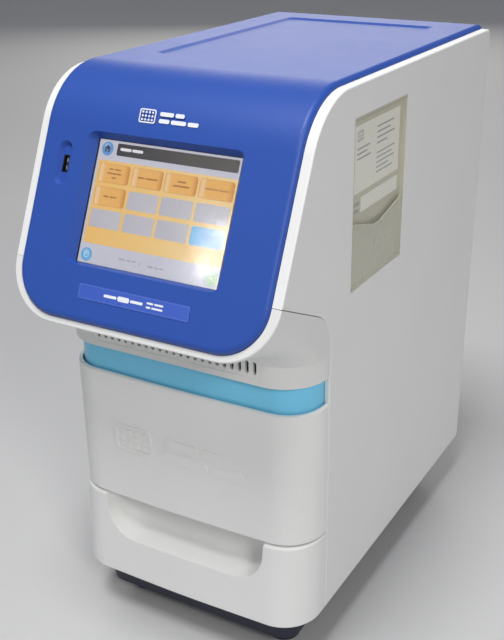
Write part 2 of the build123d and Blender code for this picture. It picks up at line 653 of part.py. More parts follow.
def power_supply():
    case = block(-104, 16, -60, 200, FLOOR_Z, 122.0)
    case = fillet(case.edges().filter_by(Axis.Z), 2)
    case -= block(-102.8, 14.8, -58.8, 198.8, FLOOR_Z + 1.2, 120.8)
    case += block(-95, 5, -50, 190, FLOOR_Z + 1.0, FLOOR_Z + 14.0)
    for row in range(12):
        slot = Pos(-60 + 18 * row, 88) * Rot(0, 0, 90) * SlotOverall(40, 4)
        case -= side_prism(slot, 14.5, 17)
    return case


def main_board():
    board = block(30, 108, -80, 180, 60, 61.6)
    chips = [(60, -20, 34, 34, 3), (60, 40, 22, 22, 2.5), (88, 90, 20, 30, 12), (52, 110, 16, 40, 9),
             (85, -50, 24, 10, 10), (60, 150, 40, 12, 14), (92, 20, 14, 26, 18)]
    for x, y, w, d, h in chips:
        board += block(x - w / 2, x + w / 2, y - d / 2, y + d / 2, 61.6, 61.6 + h)
    for x in (36, 102):
        for y in (-74, 174):
            board += rod(x, y, FLOOR_Z, 3, 60 - FLOOR_Z)
    return board


def rails(kind):
    """Telescopic slides, one each side: outer is fixed, mid moves half way, inner all the way."""
    sizes = {
        "outer": (RAIL_WEB, 9.0, RAIL_HALF, -115, 215),
        "mid": (RAIL_WEB - 2.2, 8.6, RAIL_HALF - 2.2, -113, 205),
        "inner": (RAIL_WEB - 4.4, 8.6, RAIL_HALF - 4.4, -111, 195),
    }
    web_x, depth, half, y0, y1 = sizes[kind]
    rail = block(web_x - depth, web_x, y0, y1, RAIL_Z - half, RAIL_Z + half)
    rail -= block(web_x - depth - 1, web_x - 1.5, y0 - 1, y1 + 1, RAIL_Z - half + 1.5, RAIL_Z + half - 1.5)
    return Compound(children=both_sides(rail))


def optics_housing():
    box = block(-70, 70, -104, 96, SHELF_Z + 2, 470)
    box -= block(-67.5, 67.5, -101.5, 93.5, SHELF_Z + 1, 471)
    for side in both_sides(block(69.5, 82, -60, 60, SHELF_Z + 2, SHELF_Z + 4.5)):
        box += side
    # stubs that hold the beam splitter, and the motor's bracket
    for side in both_sides(rod(35, BLOCK_Y, BEAM_Z, 3, 33, "X")):
        box += side
    box += block(WHEEL_X + 14, 68, WHEEL_Y - 5, WHEEL_Y + 5, WHEEL_Z - 22, WHEEL_Z - 18)
    return box


def optics_lid():
    lid = block(-71, 71, -105, 97, 470, 472.5)
    lid += block(-67, 67, -101, 93, 467.5, 470)
    lid -= block(-64, 64, -98, 90, 467, 470)
    return lid


def led_module():
    sink = block(-30, 30, 74, 93.5, BEAM_Z - 26, BEAM_Z + 26)
    for i in range(8):
        sink -= block(-27 + 7 * i, -23 + 7 * i, 80, 94, BEAM_Z - 27, BEAM_Z + 27)
    emitter = rod(0, 66, BEAM_Z, 14, 8, "Y") + rod(0, 47, BEAM_Z, 18, 20, "Y")
    return sink + emitter


def excitation_filter():
    return front_prism(Pos(0, BEAM_Z) * Circle(20), 44, 47)


def dichroic_plate():
    return Pos(0, BLOCK_Y, BEAM_Z) * Rot(45, 0, 0) * Box(70, 84, 2)


def camera_module():
    body = block(-26, 26, BLOCK_Y - 26, BLOCK_Y + 26, 452, 470)
    return body + rod(0, BLOCK_Y, 441.5, 19, 11)


def filter_motor():
    x, y = WHEEL_X, WHEEL_Y
    body = block(x - 14, x + 14, y - 14, y + 14, WHEEL_Z - 30, WHEEL_Z - 6)
    return body + rod(x, y, WHEEL_Z - 6.5, 2.5, 12.5)


def filter_places():
    """Centres of the five filters."""
    turns = [math.radians(FILTER_TURN + 72 * i) for i in range(5)]
    return [(WHEEL_X + FILTER_R * math.sin(t), WHEEL_Y - FILTER_R * math.cos(t)) for t in turns]


def filter_wheel():
    x, y = WHEEL_X, WHEEL_Y
    wheel = rod(x, y, WHEEL_Z - 2, 44, 4) + rod(x, y, WHEEL_Z - 4, 9, 10)
    wheel -= rod(x, y, WHEEL_Z - 5, 2.55, 13)
    for fx, fy in filter_places():
        wheel -= rod(fx, fy, WHEEL_Z - 3, 10.5, 6)
        wheel += rod(fx, fy, WHEEL_Z - 2, 10.6, 1.4) - rod(fx, fy, WHEEL_Z - 3, 9.2, 4)
    return wheel


def emission_filters():
    return Compound(children=[rod(x, y, WHEEL_Z - 0.6, 10.3, 2.2) for x, y in filter_places()])


def fan_frames():
    frames = []
    for x in (-FAN_X, FAN_X):
        y1 = REAR_PLATE_Y - 2.5
        frame = front_prism(Pos(x, FAN_Z) * RectangleRounded(80, 80, 4), y1 - 25, y1)
        frame -= rod(x, y1 - 26, FAN_Z, 38, 28, "Y")
        frame += rod(x, y1 - 4, FAN_Z, 16, 4, "Y") + rod(x, y1 - 18, FAN_Z, 2, 15, "Y")
        for angle in (45, 135, 225, 315):
            strut = Pos(x, y1 - 2, FAN_Z) * Rot(0, angle, 0) * Pos(27, 0, 0) * Box(24, 3, 4)
            frame += strut
        for dx in (-36, 36):
            for dz in (-36, 36):
                frame -= rod(x + dx, y1 - 26, FAN_Z + dz, 2.2, 28, "Y")
        frames.append(frame)
    return Compound(children=frames)


def fan_rotor(x):
    y1 = REAR_PLATE_Y - 2.5
    hub = rod(x, y1 - 23, FAN_Z, 16, 18, "Y") - rod(x, y1 - 20, FAN_Z, 2.05, 20, "Y")
    hub -= rod(x, y1 - 20, FAN_Z, 13, 16, "Y") - rod(x, y1 - 20, FAN_Z, 4.5, 16, "Y")
    for i in range(7):
        spoke = Pos(x, y1 - 14, FAN_Z) * Rot(0, 360 / 7 * i, 0)
        hub += spoke * Pos(25.5, 0, 0) * Rot(38, 0, 0) * Box(20, 1.8, 21)
    return hub & rod(x, y1 - 24, FAN_Z, 36.5, 20, "Y")


# ---- drawer with the sample block ----
def drawer_tray():
    """Moulded tray with a high front upstand that shows above the drawer front."""
    rear = FRONT_EDGE_Y + 4.5
    inset = 5.0
    half = HALF_W - inset
    z0, z1 = 250.0, CHIN_Z - 1.0
    front = DRAWER_FRONT_Y[1] + inset + 0.2
    wall = prism(plan_outline(half, front, rear, CORNER_R - inset, 2.6), z0, z1)
    wall -= prism(plan_outline(half - SKIN, front + SKIN, rear + 1, CORNER_R - inset - SKIN, 2.6),
                  z0 - 1, z1 + 1)
    deck_front = prism(plan_outline(half - 1, front + 1, -118.0, CORNER_R - inset - 1, 2.6),
                       261.0, 264.0)
    deck_front -= block(110, 130, -127, -117, 260, 265) + block(-130, -110, -127, -117, 260, 265)
    deck = block(-98, 98, -119, 42, 261, 264)
    hole = block(-66, 66, BLOCK_Y - 46, BLOCK_Y + 46, 260, 267)
    tray = wall + deck_front + deck
    for side in both_sides(block(95, 98, -119, 42, 264, 270)):
        tray += side
    collar = block(-68.5, 68.5, BLOCK_Y - 48.5, BLOCK_Y + 48.5, 264, 266)
    return tray + collar - hole


def sample_block():
    block_x, block_y = 63.5, 43.5
    solid = block(-block_x, block_x, BLOCK_Y - block_y, BLOCK_Y + block_y, 244, 250)
    solid += block(-56, 56, BLOCK_Y - 38, BLOCK_Y + 38, 250, BLOCK_TOP)
    wells = []
    for column in range(12):
        for row in range(8):
            x = (column - 5.5) * WELL_PITCH
            y = BLOCK_Y + (row - 3.5) * WELL_PITCH
            wells.append(Pos(x, y, BLOCK_TOP - 6.9) * Cone(1.6, 3.1, 14))
    return solid - wells


def peltier_modules():
    return Compound(children=[
        block(x - 20, x + 20, BLOCK_Y + dy - 20, BLOCK_Y + dy + 20, 240.0, 244.0)
        for x in (-42, 0, 42) for dy in (-21, 21)])


def heat_sink():
    half_x, y0, y1 = 75.0, BLOCK_Y - 52, BLOCK_Y + 56
    profile = Pos(0, 236) * Rectangle(2 * half_x, 8)
    for i in range(25):
        profile += Pos(-72 + 6 * i, 196) * Rectangle(1.6, 74)
    return front_prism(profile, y0, y1)


def drawer_chassis():
    y0, y1 = -158.0, 60.0
    sheet = block(-99.6, 99.6, y0 + 10, y1, 138, 139.5) + block(-80, 80, y0, y0 + 11, 138, 139.5)
    for side in both_sides(block(98.1, 99.6, y0 + 34, y1, 138, 261)):
        sheet += side
    for y in (BLOCK_Y - 50, BLOCK_Y + 48):
        sheet += block(-78, 78, y - 1, y + 1, 139, 159)
        sheet += block(-78, 78, y - 8, y + 8, 157.5, 159)
    # front flange behind the drawer front, with a window for intake air
    flange = block(-99.6, 99.6, y0 + 34, y0 + 35.5, 138, 240)
    flange -= block(-80, 80, y0 + 30, y0 + 40, 160, 225)
    rear_flange = block(-99.6, 99.6, y1 - 1.5, y1, 138, 162)
    for side in both_sides(block(50, 70, -150, -135, DRAWER_BOTTOM + 3, 138)):
        sheet += side
    return sheet + flange + rear_flange


def drawer_magnets():
    return Compound(children=both_sides(block(60, 84, 60.0, 64.0, 150, 160)))


def catch_plates():
    """Steel plates on brackets that the drawer's magnets hold to when it is shut."""
    plates = []
    for side in both_sides(block(56, 88, 64.2, 66.2, 145, 165) + block(56, 88, 64.2, 84, 132.5, 134.5)
                           + block(56, 88, 64.2, 66.2, 132.5, 146)):
        plates.append(side)
    return Compound(children=plates)


# ---- heated cover ----
def heated_cover_plate():
    plate = block(-63.5, 63.5, BLOCK_Y - 43, BLOCK_Y + 43, 275, 280)
    holes = []
    for column in range(12):
        for row in range(8):
            x = (column - 5.5) * WELL_PITCH
            y = BLOCK_Y + (row - 3.5) * WELL_PITCH
            holes.append(Pos(x, y, 277.5) * Cylinder(2.4, 7))
    return plate - holes


def heater_pad():
    ring = Pos(0, BLOCK_Y) * (RectangleRounded(118, 78, 2) - RectangleRounded(110.5, 74.0, 1))
    return prism(ring, 280.0, 280.8)


def cover_frame():
    ring = Pos(0, BLOCK_Y) * (RectangleRounded(162, 114, 6) - RectangleRounded(119, 79, 3))
    frame = prism(ring, 280.0, 290.0)
    for x, y in COVER_LIFT_RODS:
        frame += rod(x, y, 276, 7, 14)
        frame -= rod(x, y, 270, 3.05, 30)
    return frame


def guide_rods():
    return Compound(children=[rod(x, y, 272.5, 3.0, SHELF_Z - 272.5) for x, y in COVER_LIFT_RODS])


nodes = {
    "side_panel_right": side_panel_right(),
    "side_panel_left": mirror(side_panel(), about=Plane.YZ),
    "top_front_cover": top_front_cover(),
    "chin_cover": chin_cover(),
    "lower_front_panel": lower_front_panel(),
    "rear_panel": rear_panel(),
    "rear_panel_screws": rear_panel_screws(),
    "base_plate": base_plate(),
    "base_plinth": base_plinth(),
    "rubber_feet": rubber_feet(),
    "screen_glass": screen_glass(),
    "screen_gasket": screen_gasket(),
    "lcd_module": lcd_module(),
    "display_panel": display_panel(),
    "display_board": display_board(),
    "front_usb_port": front_usb_port(),
    "badge_plate": badge_plate(),
    "card_pocket": card_pocket(),
    "pocket_pouch": pocket_pouch(),
    "reference_card": reference_card(),
    "info_label": info_label(),
    "strip_label": strip_label(),
    "power_inlet": power_inlet(),
    "fuse_drawer": fuse_drawer(),
    "power_switch_frame": power_switch_frame(),
    "power_rocker": power_rocker(),
    "ethernet_socket": ethernet_socket(),
    "usb_sockets": usb_sockets(),
    "serial_port": serial_port(),
    "inner_frame": inner_frame(),
    "power_supply": power_supply(),
    "main_board": main_board(),
    "rails_outer": rails("outer"),
    "rails_mid": rails("mid"),
    "rails_inner": rails("inner"),
    "optics_housing": optics_housing(),
    "optics_lid": optics_lid(),
    "led_module": led_module(),
    "excitation_filter": excitation_filter(),
    "dichroic_plate": dichroic_plate(),
    "camera_module": camera_module(),
    "filter_motor": filter_motor(),
    "filter_wheel": filter_wheel(),
    "emission_filters": emission_filters(),
    "fan_frames": fan_frames(),
    "fan_rotor_left": fan_rotor(-FAN_X),
    "fan_rotor_right": fan_rotor(FAN_X),
    "drawer_front": drawer_front(),
    "drawer_tray": drawer_tray(),
    "drawer_chassis": drawer_chassis(),
    "drawer_magnets": drawer_magnets(),
    "catch_plates": catch_plates(),
    "sample_block": sample_block(),
    "peltier_modules": peltier_modules(),
    "heat_sink": heat_sink(),
    "heated_cover_plate": heated_cover_plate(),
    "heater_pad": heater_pad(),
    "cover_frame": cover_frame(),
    "guide_rods": guide_rods(),
}

for name, shape in nodes.items():
    export_step(shape, f"parts/{name}.step")
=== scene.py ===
import json
import math

import bpy
from mathutils import Matrix, Vector


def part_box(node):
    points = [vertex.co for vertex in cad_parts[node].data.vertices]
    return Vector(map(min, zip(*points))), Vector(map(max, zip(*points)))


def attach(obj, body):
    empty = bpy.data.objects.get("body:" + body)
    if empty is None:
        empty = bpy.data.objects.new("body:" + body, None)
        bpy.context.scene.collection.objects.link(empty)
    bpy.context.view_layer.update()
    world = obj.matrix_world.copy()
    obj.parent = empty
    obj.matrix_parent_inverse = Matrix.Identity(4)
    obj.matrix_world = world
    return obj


# Looks of the thermal cycler: materials, the screen's picture, prints, floor, lights and camera.
# Lengths in the helpers are millimetres in the CAD frame; MM turns them into metres.

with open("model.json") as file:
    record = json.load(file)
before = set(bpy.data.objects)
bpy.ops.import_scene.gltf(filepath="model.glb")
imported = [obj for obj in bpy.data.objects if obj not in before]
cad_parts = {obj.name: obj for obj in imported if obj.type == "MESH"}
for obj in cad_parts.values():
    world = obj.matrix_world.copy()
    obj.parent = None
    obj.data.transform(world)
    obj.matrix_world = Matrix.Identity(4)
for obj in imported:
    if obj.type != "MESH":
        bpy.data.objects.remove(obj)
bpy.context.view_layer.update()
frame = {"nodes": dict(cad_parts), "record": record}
MM = 0.001
scene = bpy.context.scene

# ---- the sloping screen face, as in the CAD ----
FACE_TILT = math.radians(25.5)
SIN, COS = math.sin(FACE_TILT), math.cos(FACE_TILT)
glass_lo, glass_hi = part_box("screen_glass")
GLASS_H = 105.4 * MM
GLASS_THICK = 1.1 * MM
GLASS_CENTRE = Vector((0.0, glass_hi.y - (GLASS_H / 2) * SIN - GLASS_THICK * COS,
                       glass_lo.z + (GLASS_H / 2) * COS + GLASS_THICK * SIN))
COVER_D = 8.0             # blue surface, outward of the glass


def face_point(x, s, d):
    """Point x across and s up the screen face, d outward of the glass, in metres."""
    return Vector((x * MM, GLASS_CENTRE.y + (s * SIN - d * COS) * MM,
                   GLASS_CENTRE.z + (s * COS + d * SIN) * MM))


# ---- node helpers ----
class Graph:
    """Small helper that adds nodes to a material and joins them."""

    def __init__(self, name):
        self.mat = bpy.data.materials.new(name)
        self.mat.use_nodes = True
        self.tree = self.mat.node_tree
        self.tree.nodes.clear()
        self.out = self.tree.nodes.new("ShaderNodeOutputMaterial")
        self.coords = self.tree.nodes.new("ShaderNodeTexCoord").outputs["Object"]

    def node(self, kind, inputs=None, **settings):
        made = self.tree.nodes.new(kind)
        for key, value in settings.items():
            setattr(made, key, value)
        for key, value in (inputs or {}).items():
            if isinstance(value, bpy.types.NodeSocket):
                self.tree.links.new(value, made.inputs[key])
            else:
                made.inputs[key].default_value = value
        return made

    def noise(self, scale, detail=3.0, rough=0.55, stretch=None):
        vector = self.coords
        if stretch:
            vector = self.node("ShaderNodeMapping", {"Vector": vector, "Scale": stretch}).outputs[0]
        return self.node("ShaderNodeTexNoise", {"Vector": vector, "Scale": scale, "Detail": detail,
                                                "Roughness": rough}).outputs["Fac"]

    def spread(self, value, lo, hi, to_lo, to_hi):
        return self.node("ShaderNodeMapRange", {"Value": value, "From Min": lo, "From Max": hi,
                                                "To Min": to_lo, "To Max": to_hi}).outputs[0]

    def blend(self, fac, a, b):
        made = self.node("ShaderNodeMix", data_type="RGBA")
        for index, value in ((0, fac), (6, a), (7, b)):
            if isinstance(value, bpy.types.NodeSocket):
                self.tree.links.new(value, made.inputs[index])
            else:
                made.inputs[index].default_value = value if index == 0 else (*value, 1.0)
        return made.outputs[2]

    def bump(self, height, distance, strength=1.0, normal=None):
        inputs = {"Height": height, "Distance": distance, "Strength": strength}
        if normal is not None:
            inputs["Normal"] = normal
        return self.node("ShaderNodeBump", inputs).outputs[0]

    def shade(self, **inputs):
        names = {k.replace("_", " "): v for k, v in inputs.items()}
        shader = self.node("ShaderNodeBsdfPrincipled", names)
        self.tree.links.new(shader.outputs[0], self.out.inputs[0])
        return self.mat


def tone(colour, factor):
    return tuple(min(1.0, c * factor) for c in colour)


def moulded(name, colour, rough, grain=1500.0, depth=0.00006, drift=0.05, smears=0.05, **more):
    """Moulded plastic: fine spark-eroded grain, slow colour drift, faint smears."""
    g = Graph(name)
    grain_a = g.noise(grain, 2.0, 0.5)
    cloud = g.noise(9.0, 4.0, 0.6)
    smear = g.noise(34.0, 3.0, 0.6, (1.0, 1.0, 0.35))
    base = g.blend(g.spread(cloud, 0.3, 0.7, 0.0, 1.0), tone(colour, 1.0 - drift), tone(colour, 1.0 + drift))
    base = g.blend(g.spread(grain_a, 0.35, 0.75, 0.0, 0.35), base, tone(colour, 0.86))
    roughness = g.spread(smear, 0.3, 0.7, rough - smears, rough + smears)
    normal = g.bump(grain_a, depth)
    return g.shade(Base_Color=base, Roughness=roughness, Normal=normal, **more)


def coated(name, colour, rough, metallic=0.0, scale=700.0, depth=0.00012, drift=0.06):
    """Powder coat or cast metal: coarse orange-peel grain."""
    g = Graph(name)
    peel = g.noise(scale, 4.0, 0.6)
    cloud = g.noise(12.0, 3.0, 0.5)
    base = g.blend(g.spread(cloud, 0.3, 0.7, 0.0, 1.0), tone(colour, 1.0 - drift), tone(colour, 1.0 + drift))
    roughness = g.spread(peel, 0.3, 0.7, rough - 0.08, rough + 0.08)
    return g.shade(Base_Color=base, Roughness=roughness, Normal=g.bump(peel, depth), Metallic=metallic)


def brushed(name, colour, rough, stretch=(1.0, 60.0, 60.0), depth=0.00003):
    """Rolled or brushed metal with fine lines."""
    g = Graph(name)
    lines = g.noise(55.0, 6.0, 0.7, stretch)
    cloud = g.noise(14.0, 3.0, 0.5)
    base = g.blend(g.spread(lines, 0.3, 0.7, 0.0, 1.0), tone(colour, 0.88), tone(colour, 1.08))
    base = g.blend(g.spread(cloud, 0.35, 0.7, 0.0, 0.25), base, tone(colour, 0.7))
    roughness = g.spread(lines, 0.3, 0.7, rough - 0.08, rough + 0.1)
    return g.shade(Base_Color=base, Roughness=roughness, Normal=g.bump(lines, depth), Metallic=1.0)


def circuit(name):
    """Solder mask over copper tracks."""
    g = Graph(name)
    tracks = g.node("ShaderNodeTexVoronoi", {"Vector": g.coords, "Scale": 330.0},
                    distance="CHEBYCHEV").outputs["Distance"]
    mask = g.spread(tracks, 0.28, 0.34, 0.0, 1.0)
    base = g.blend(mask, (0.01, 0.10, 0.045), (0.03, 0.20, 0.09))
    return g.shade(Base_Color=base, Roughness=g.spread(mask, 0.0, 1.0, 0.3, 0.45),
                   Normal=g.bump(mask, 0.00004))


def printed(name, colour, rough=0.5):
    """Screen-printed ink or label stock with fibre and slight unevenness."""
    g = Graph(name)
    fibre = g.noise(1300.0, 3.0, 0.6)
    base = g.blend(g.spread(fibre, 0.3, 0.7, 0.0, 1.0), tone(colour, 0.93), tone(colour, 1.05))
    return g.shade(Base_Color=base, Roughness=g.spread(fibre, 0.3, 0.7, rough - 0.05, rough + 0.08),
                   Normal=g.bump(fibre, 0.00002))


def lit(name, strength=0.75):
    """Lit screen pixels: colour from the mesh, with the panel's fine pixel rows."""
    g = Graph(name)
    tint = g.node("ShaderNodeAttribute", attribute_name="tint").outputs["Color"]
    rows = g.node("ShaderNodeTexNoise", {"Vector": g.coords, "Scale": 900.0, "Detail": 1.0}).outputs["Fac"]
    glow = g.blend(g.spread(rows, 0.3, 0.7, 0.0, 0.06), tint, (0.0, 0.0, 0.0))
    return g.shade(Base_Color=(0.02, 0.02, 0.02, 1.0), Roughness=0.4, Emission_Color=glow,
                   Emission_Strength=strength)


# ---- mesh helpers ----
def rounded_outline(x0, x1, y0, y1, r, steps=6):
    """Points of a rounded rectangle, anticlockwise."""
    points = []
    corners = ((x1 - r, y0 + r, -90), (x1 - r, y1 - r, 0), (x0 + r, y1 - r, 90), (x0 + r, y0 + r, 180))
    for cx, cy, start in corners:
        for i in range(steps + 1):
            a = math.radians(start + 90 * i / steps)
            points.append((cx + r * math.cos(a), cy + r * math.sin(a)))
    return points


def circle_outline(cx, cy, r, steps=32):
    return [(cx + r * math.cos(2 * math.pi * i / steps), cy + r * math.sin(2 * math.pi * i / steps))
            for i in range(steps)]


def arc_points(cx, cy, r, start, stop, step):
    """Points on an arc, the angles in degrees."""
    return [(cx + r * math.cos(math.radians(a)), cy + r * math.sin(math.radians(a)))
            for a in range(start, stop, step)]


class Sheet:
    """Collects thin prints on one plane: place(a, b, d) gives the point in metres."""

    def __init__(self, name, place):
        self.name, self.place = name, place
        self.verts, self.faces, self.mats, self.tints = [], [], [], []

    def slab(self, points, d0, d1, mat=0, tint=(1, 1, 1)):
        """Closed prism of the outline from offset d0 up to d1, with a small chamfer."""
        n, start = len(points), len(self.verts)
        cx = sum(p[0] for p in points) / n
        cy = sum(p[1] for p in points) / n
        size = max(max(p[0] for p in points) - cx, max(p[1] for p in points) - cy)
        cut = min(0.25 * (d1 - d0) / max(size, 1e-6), 0.1)
        rings = [(0.0, d0), (0.0, d1 - 0.3 * (d1 - d0)), (cut, d1)]
        for pull, d in rings:
            for a, b in points:
                self.verts.append(self.place(a + (cx - a) * pull, b + (cy - b) * pull, d))
                self.tints.append(tint)
        for ring in range(2):
            for i in range(n):
                j = (i + 1) % n
                base = start + ring * n
                self.faces.append((base + i, base + j, base + n + j, base + n + i))
                self.mats.append(mat)
        self.faces.append(tuple(start + 2 * n + i for i in range(n)))
        self.faces.append(tuple(start + n - 1 - i for i in range(n)))
        self.mats += [mat, mat]

    def ring(self, outer, inner, d0, d1, mat=0, tint=(1, 1, 1)):
        """Closed band between two outlines with the same number of points."""
        n, start = len(outer), len(self.verts)
        for points, d in ((outer, d0), (outer, d1), (inner, d1), (inner, d0)):
            for a, b in points:
                self.verts.append(self.place(a, b, d))
                self.tints.append(tint)
        for ring in range(4):
            for i in range(n):
                j = (i + 1) % n
                a0, b0 = start + ring * n, start + ((ring + 1) % 4) * n
                self.faces.append((a0 + i, a0 + j, b0 + j, b0 + i))
                self.mats.append(mat)

    def shaded(self, x0, x1, y0, y1, r, d0, d1, colour_at, mat=0, columns=14):
        """Rounded rectangle whose colour runs across it: colour_at(u), u from 0 to 1."""
        cuts = sorted({x0 + r * (1 - math.cos(math.radians(15 * i))) for i in range(7)}
                      | {x1 - r * (1 - math.cos(math.radians(15 * i))) for i in range(7)}
                      | {x0 + r + (x1 - x0 - 2 * r) * i / columns for i in range(columns + 1)})
        start = len(self.verts)
        for x in cuts:
            near = max(0.0, r - (x - x0), r - (x1 - x))
            dip = r - math.sqrt(max(0.0, r * r - near * near))
            for b, d in ((y0 + dip, d0), (y0 + dip, d1), (y1 - dip, d1), (y1 - dip, d0)):
                self.verts.append(self.place(x, b, d))
                self.tints.append(colour_at((x - x0) / (x1 - x0)))
        for i in range(len(cuts) - 1):
            for k in range(4):
                a, b = start + 4 * i + k, start + 4 * i + (k + 1) % 4
                self.faces.append((a, a + 4, b + 4, b))
                self.mats.append(mat)
        last = start + 4 * (len(cuts) - 1)
        self.faces += [(start, start + 1, start + 2, start + 3), (last + 3, last + 2, last + 1, last)]
        self.mats += [mat, mat]

    def build(self, materials, body):
        mesh = bpy.data.meshes.new(self.name)
        mesh.from_pydata(self.verts, [], self.faces)
        for m in materials:
            mesh.materials.append(m)
        mesh.polygons.foreach_set("material_index", self.mats)
        tint = mesh.color_attributes.new("tint", "FLOAT_COLOR", "POINT")
        for i, c in enumerate(self.tints):
            tint.data[i].color = (*c, 1.0)
        mesh.validate()
        mesh.update()
        made = bpy.data.objects.new(self.name, mesh)
        scene.collection.objects.link(made)
        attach(made, body)
        return made


def srgb(r, g, b):
    """Linear colour from a screen colour of 0 to 255."""
    return tuple(((c / 255 + 0.055) / 1.055) ** 2.4 if c > 10 else c / 3294.6 for c in (r, g, b))


# ---- materials of the CAD nodes ----
WHITE = srgb(238, 238, 235)
BLUE = srgb(38, 79, 167)
TEAL = srgb(124, 214, 250)
LIT = 0.8                 # strength of the lit screen

panel_white = moulded("panel_white", WHITE, 0.46, drift=0.015, smears=0.03)
# The chin cover is the same white plastic, painted 7 % darker as painted shade for the shadow under its
# overhang.
chin_painted_shade_white = moulded("chin_painted_shade_white", tone(WHITE, 0.93), 0.5, drift=0.015, smears=0.03)
cover_blue = moulded("cover_blue", BLUE, 0.45, grain=1250.0, depth=0.00008, drift=0.03, smears=0.012)
tray_teal = moulded("tray_teal", TEAL, 0.34, drift=0.03)
plinth_navy = moulded("plinth_navy", srgb(26, 29, 50), 0.5, drift=0.08)
rubber_black = moulded("rubber_black", (0.012, 0.012, 0.013), 0.75, grain=600.0, depth=0.0001, drift=0.2)
rear_grey = coated("rear_grey", srgb(190, 191, 187), 0.5)
steel_sheet = brushed("steel_sheet", (0.58, 0.59, 0.60), 0.36)
screw_steel = brushed("screw_steel", (0.50, 0.50, 0.51), 0.3)
socket_black = moulded("socket_black", (0.014, 0.014, 0.016), 0.38, drift=0.15)
badge_film = moulded("badge_film", srgb(58, 92, 190), 0.3, grain=2600.0, depth=0.00001, drift=0.03)
pocket_grey = moulded("pocket_grey", srgb(202, 199, 180), 0.42, drift=0.03)
pouch_clear = moulded("pouch_clear", srgb(214, 212, 194), 0.3, drift=0.02, Alpha=0.82)
card_paper = printed("card_paper", srgb(236, 234, 222))
board_green = circuit("board_green")
metal_socket = brushed("metal_socket", (0.62, 0.62, 0.62), 0.28, (40.0, 40.0, 1.0))
block_silver = brushed("block_silver", (0.78, 0.78, 0.77), 0.32, (1.0, 30.0, 1.0), 0.00001)
heat_sink_alu = brushed("heat_sink_alu", (0.66, 0.67, 0.69), 0.42, (1.0, 1.0, 50.0))
optics_black = coated("optics_black", (0.012, 0.012, 0.013), 0.5, 0.0, 1400.0, 0.00005)
peltier_ceramic = moulded("peltier_ceramic", (0.80, 0.80, 0.77), 0.6, grain=900.0, drift=0.04)
fan_black = moulded("fan_black", (0.016, 0.016, 0.017), 0.45, drift=0.15)
motor_metal = brushed("motor_metal", (0.35, 0.35, 0.37), 0.4)


def touch_glass_material():
    g = Graph("touch_glass")
    film = g.noise(60.0, 3.0, 0.6)
    return g.shade(Base_Color=(1.0, 1.0, 1.0, 1.0), Roughness=g.spread(film, 0.3, 0.7, 0.05, 0.13),
                   Transmission_Weight=1.0, IOR=1.45, Normal=g.bump(film, 0.000004))


def filter_glass_material():
    g = Graph("filter_glass")
    film = g.noise(80.0, 2.0, 0.5)
    base = g.blend(film, (0.25, 0.55, 0.30), (0.55, 0.40, 0.65))
    return g.shade(Base_Color=base, Roughness=g.spread(film, 0.3, 0.7, 0.03, 0.08),
                   Transmission_Weight=0.6, IOR=1.5, Normal=g.bump(film, 0.000004))


def display_material():
    """Lit border of the panel, behind the picture."""
    g = Graph("display_lit")
    rows = g.noise(900.0, 1.0)
    glow = g.blend(g.spread(rows, 0.3, 0.7, 0.0, 1.0), srgb(212, 212, 226), srgb(205, 205, 220))
    return g.shade(Base_Color=(0.02, 0.02, 0.02, 1.0), Roughness=0.4, Emission_Color=glow,
                   Emission_Strength=LIT)


NODE_MATERIALS = {
    "panel_white": panel_white, "cover_blue": cover_blue, "tray_teal": tray_teal,
    "plinth_navy": plinth_navy, "rubber_black": rubber_black, "rear_grey": rear_grey,
    "steel_sheet": steel_sheet, "screw_steel": screw_steel, "touch_glass": touch_glass_material(),
    "display_lit": display_material(), "socket_black": socket_black, "badge_film": badge_film,
    "pocket_grey": pocket_grey, "pouch_clear": pouch_clear, "card_paper": card_paper,
    "board_green": board_green, "metal_socket": metal_socket, "block_silver": block_silver,
    "heat_sink_alu": heat_sink_alu, "optics_black": optics_black,
    "peltier_ceramic": peltier_ceramic, "filter_glass": filter_glass_material(),
    "fan_black": fan_black, "motor_metal": motor_metal,
}
slot_of = {part["node"]: part["material_slot"] for part in frame["record"]["subparts"]}
for name, node in frame["nodes"].items():
    material = NODE_MATERIALS[slot_of[name]]
    if not node.material_slots:
        node.data.materials.append(material)
    for holder in node.material_slots:
        holder.material = material
# The chin cover gets the darker copy of the white: painted shade, not a different plastic.
for holder in frame["nodes"]["chin_cover"].material_slots:
    holder.material = chin_painted_shade_white

# ---- the picture on the screen ----
PANEL_D = -1.2            # front of the lit panel
LAYER = 0.02              # thickness of one layer of the picture


def layer(k):
    return PANEL_D - LAYER * 0.5, PANEL_D + LAYER * k


def orange_button(u):
    """Bevelled button: pale at the left, plain, then dark at the right edge."""
    plain, pale, dark = srgb(250, 190, 104), srgb(255, 222, 182), srgb(222, 146, 66)
    if u < 0.18:
        t = 1.0 - abs(u - 0.09) / 0.09
        return tuple(p + (q - p) * t for p, q in zip(plain, pale))
    t = max(0.0, (u - 0.84) / 0.16)
    return tuple(p + (q - p) * t for p, q in zip(plain, dark))


def grey_button(u):
    return tuple(p + (q - p) * u for p, q in zip(srgb(198, 196, 208), srgb(208, 205, 212)))


def blue_button(u):
    return tuple(p + (q - p) * u for p, q in zip(srgb(116, 196, 244), srgb(190, 216, 250)))


def title_bar(u):
    return tuple(p + (q - p) * u for p, q in zip(srgb(58, 56, 60), srgb(98, 94, 90)))


def orange_field(u):
    return tuple(p + (q - p) * u for p, q in zip(srgb(254, 202, 112), srgb(255, 222, 156)))


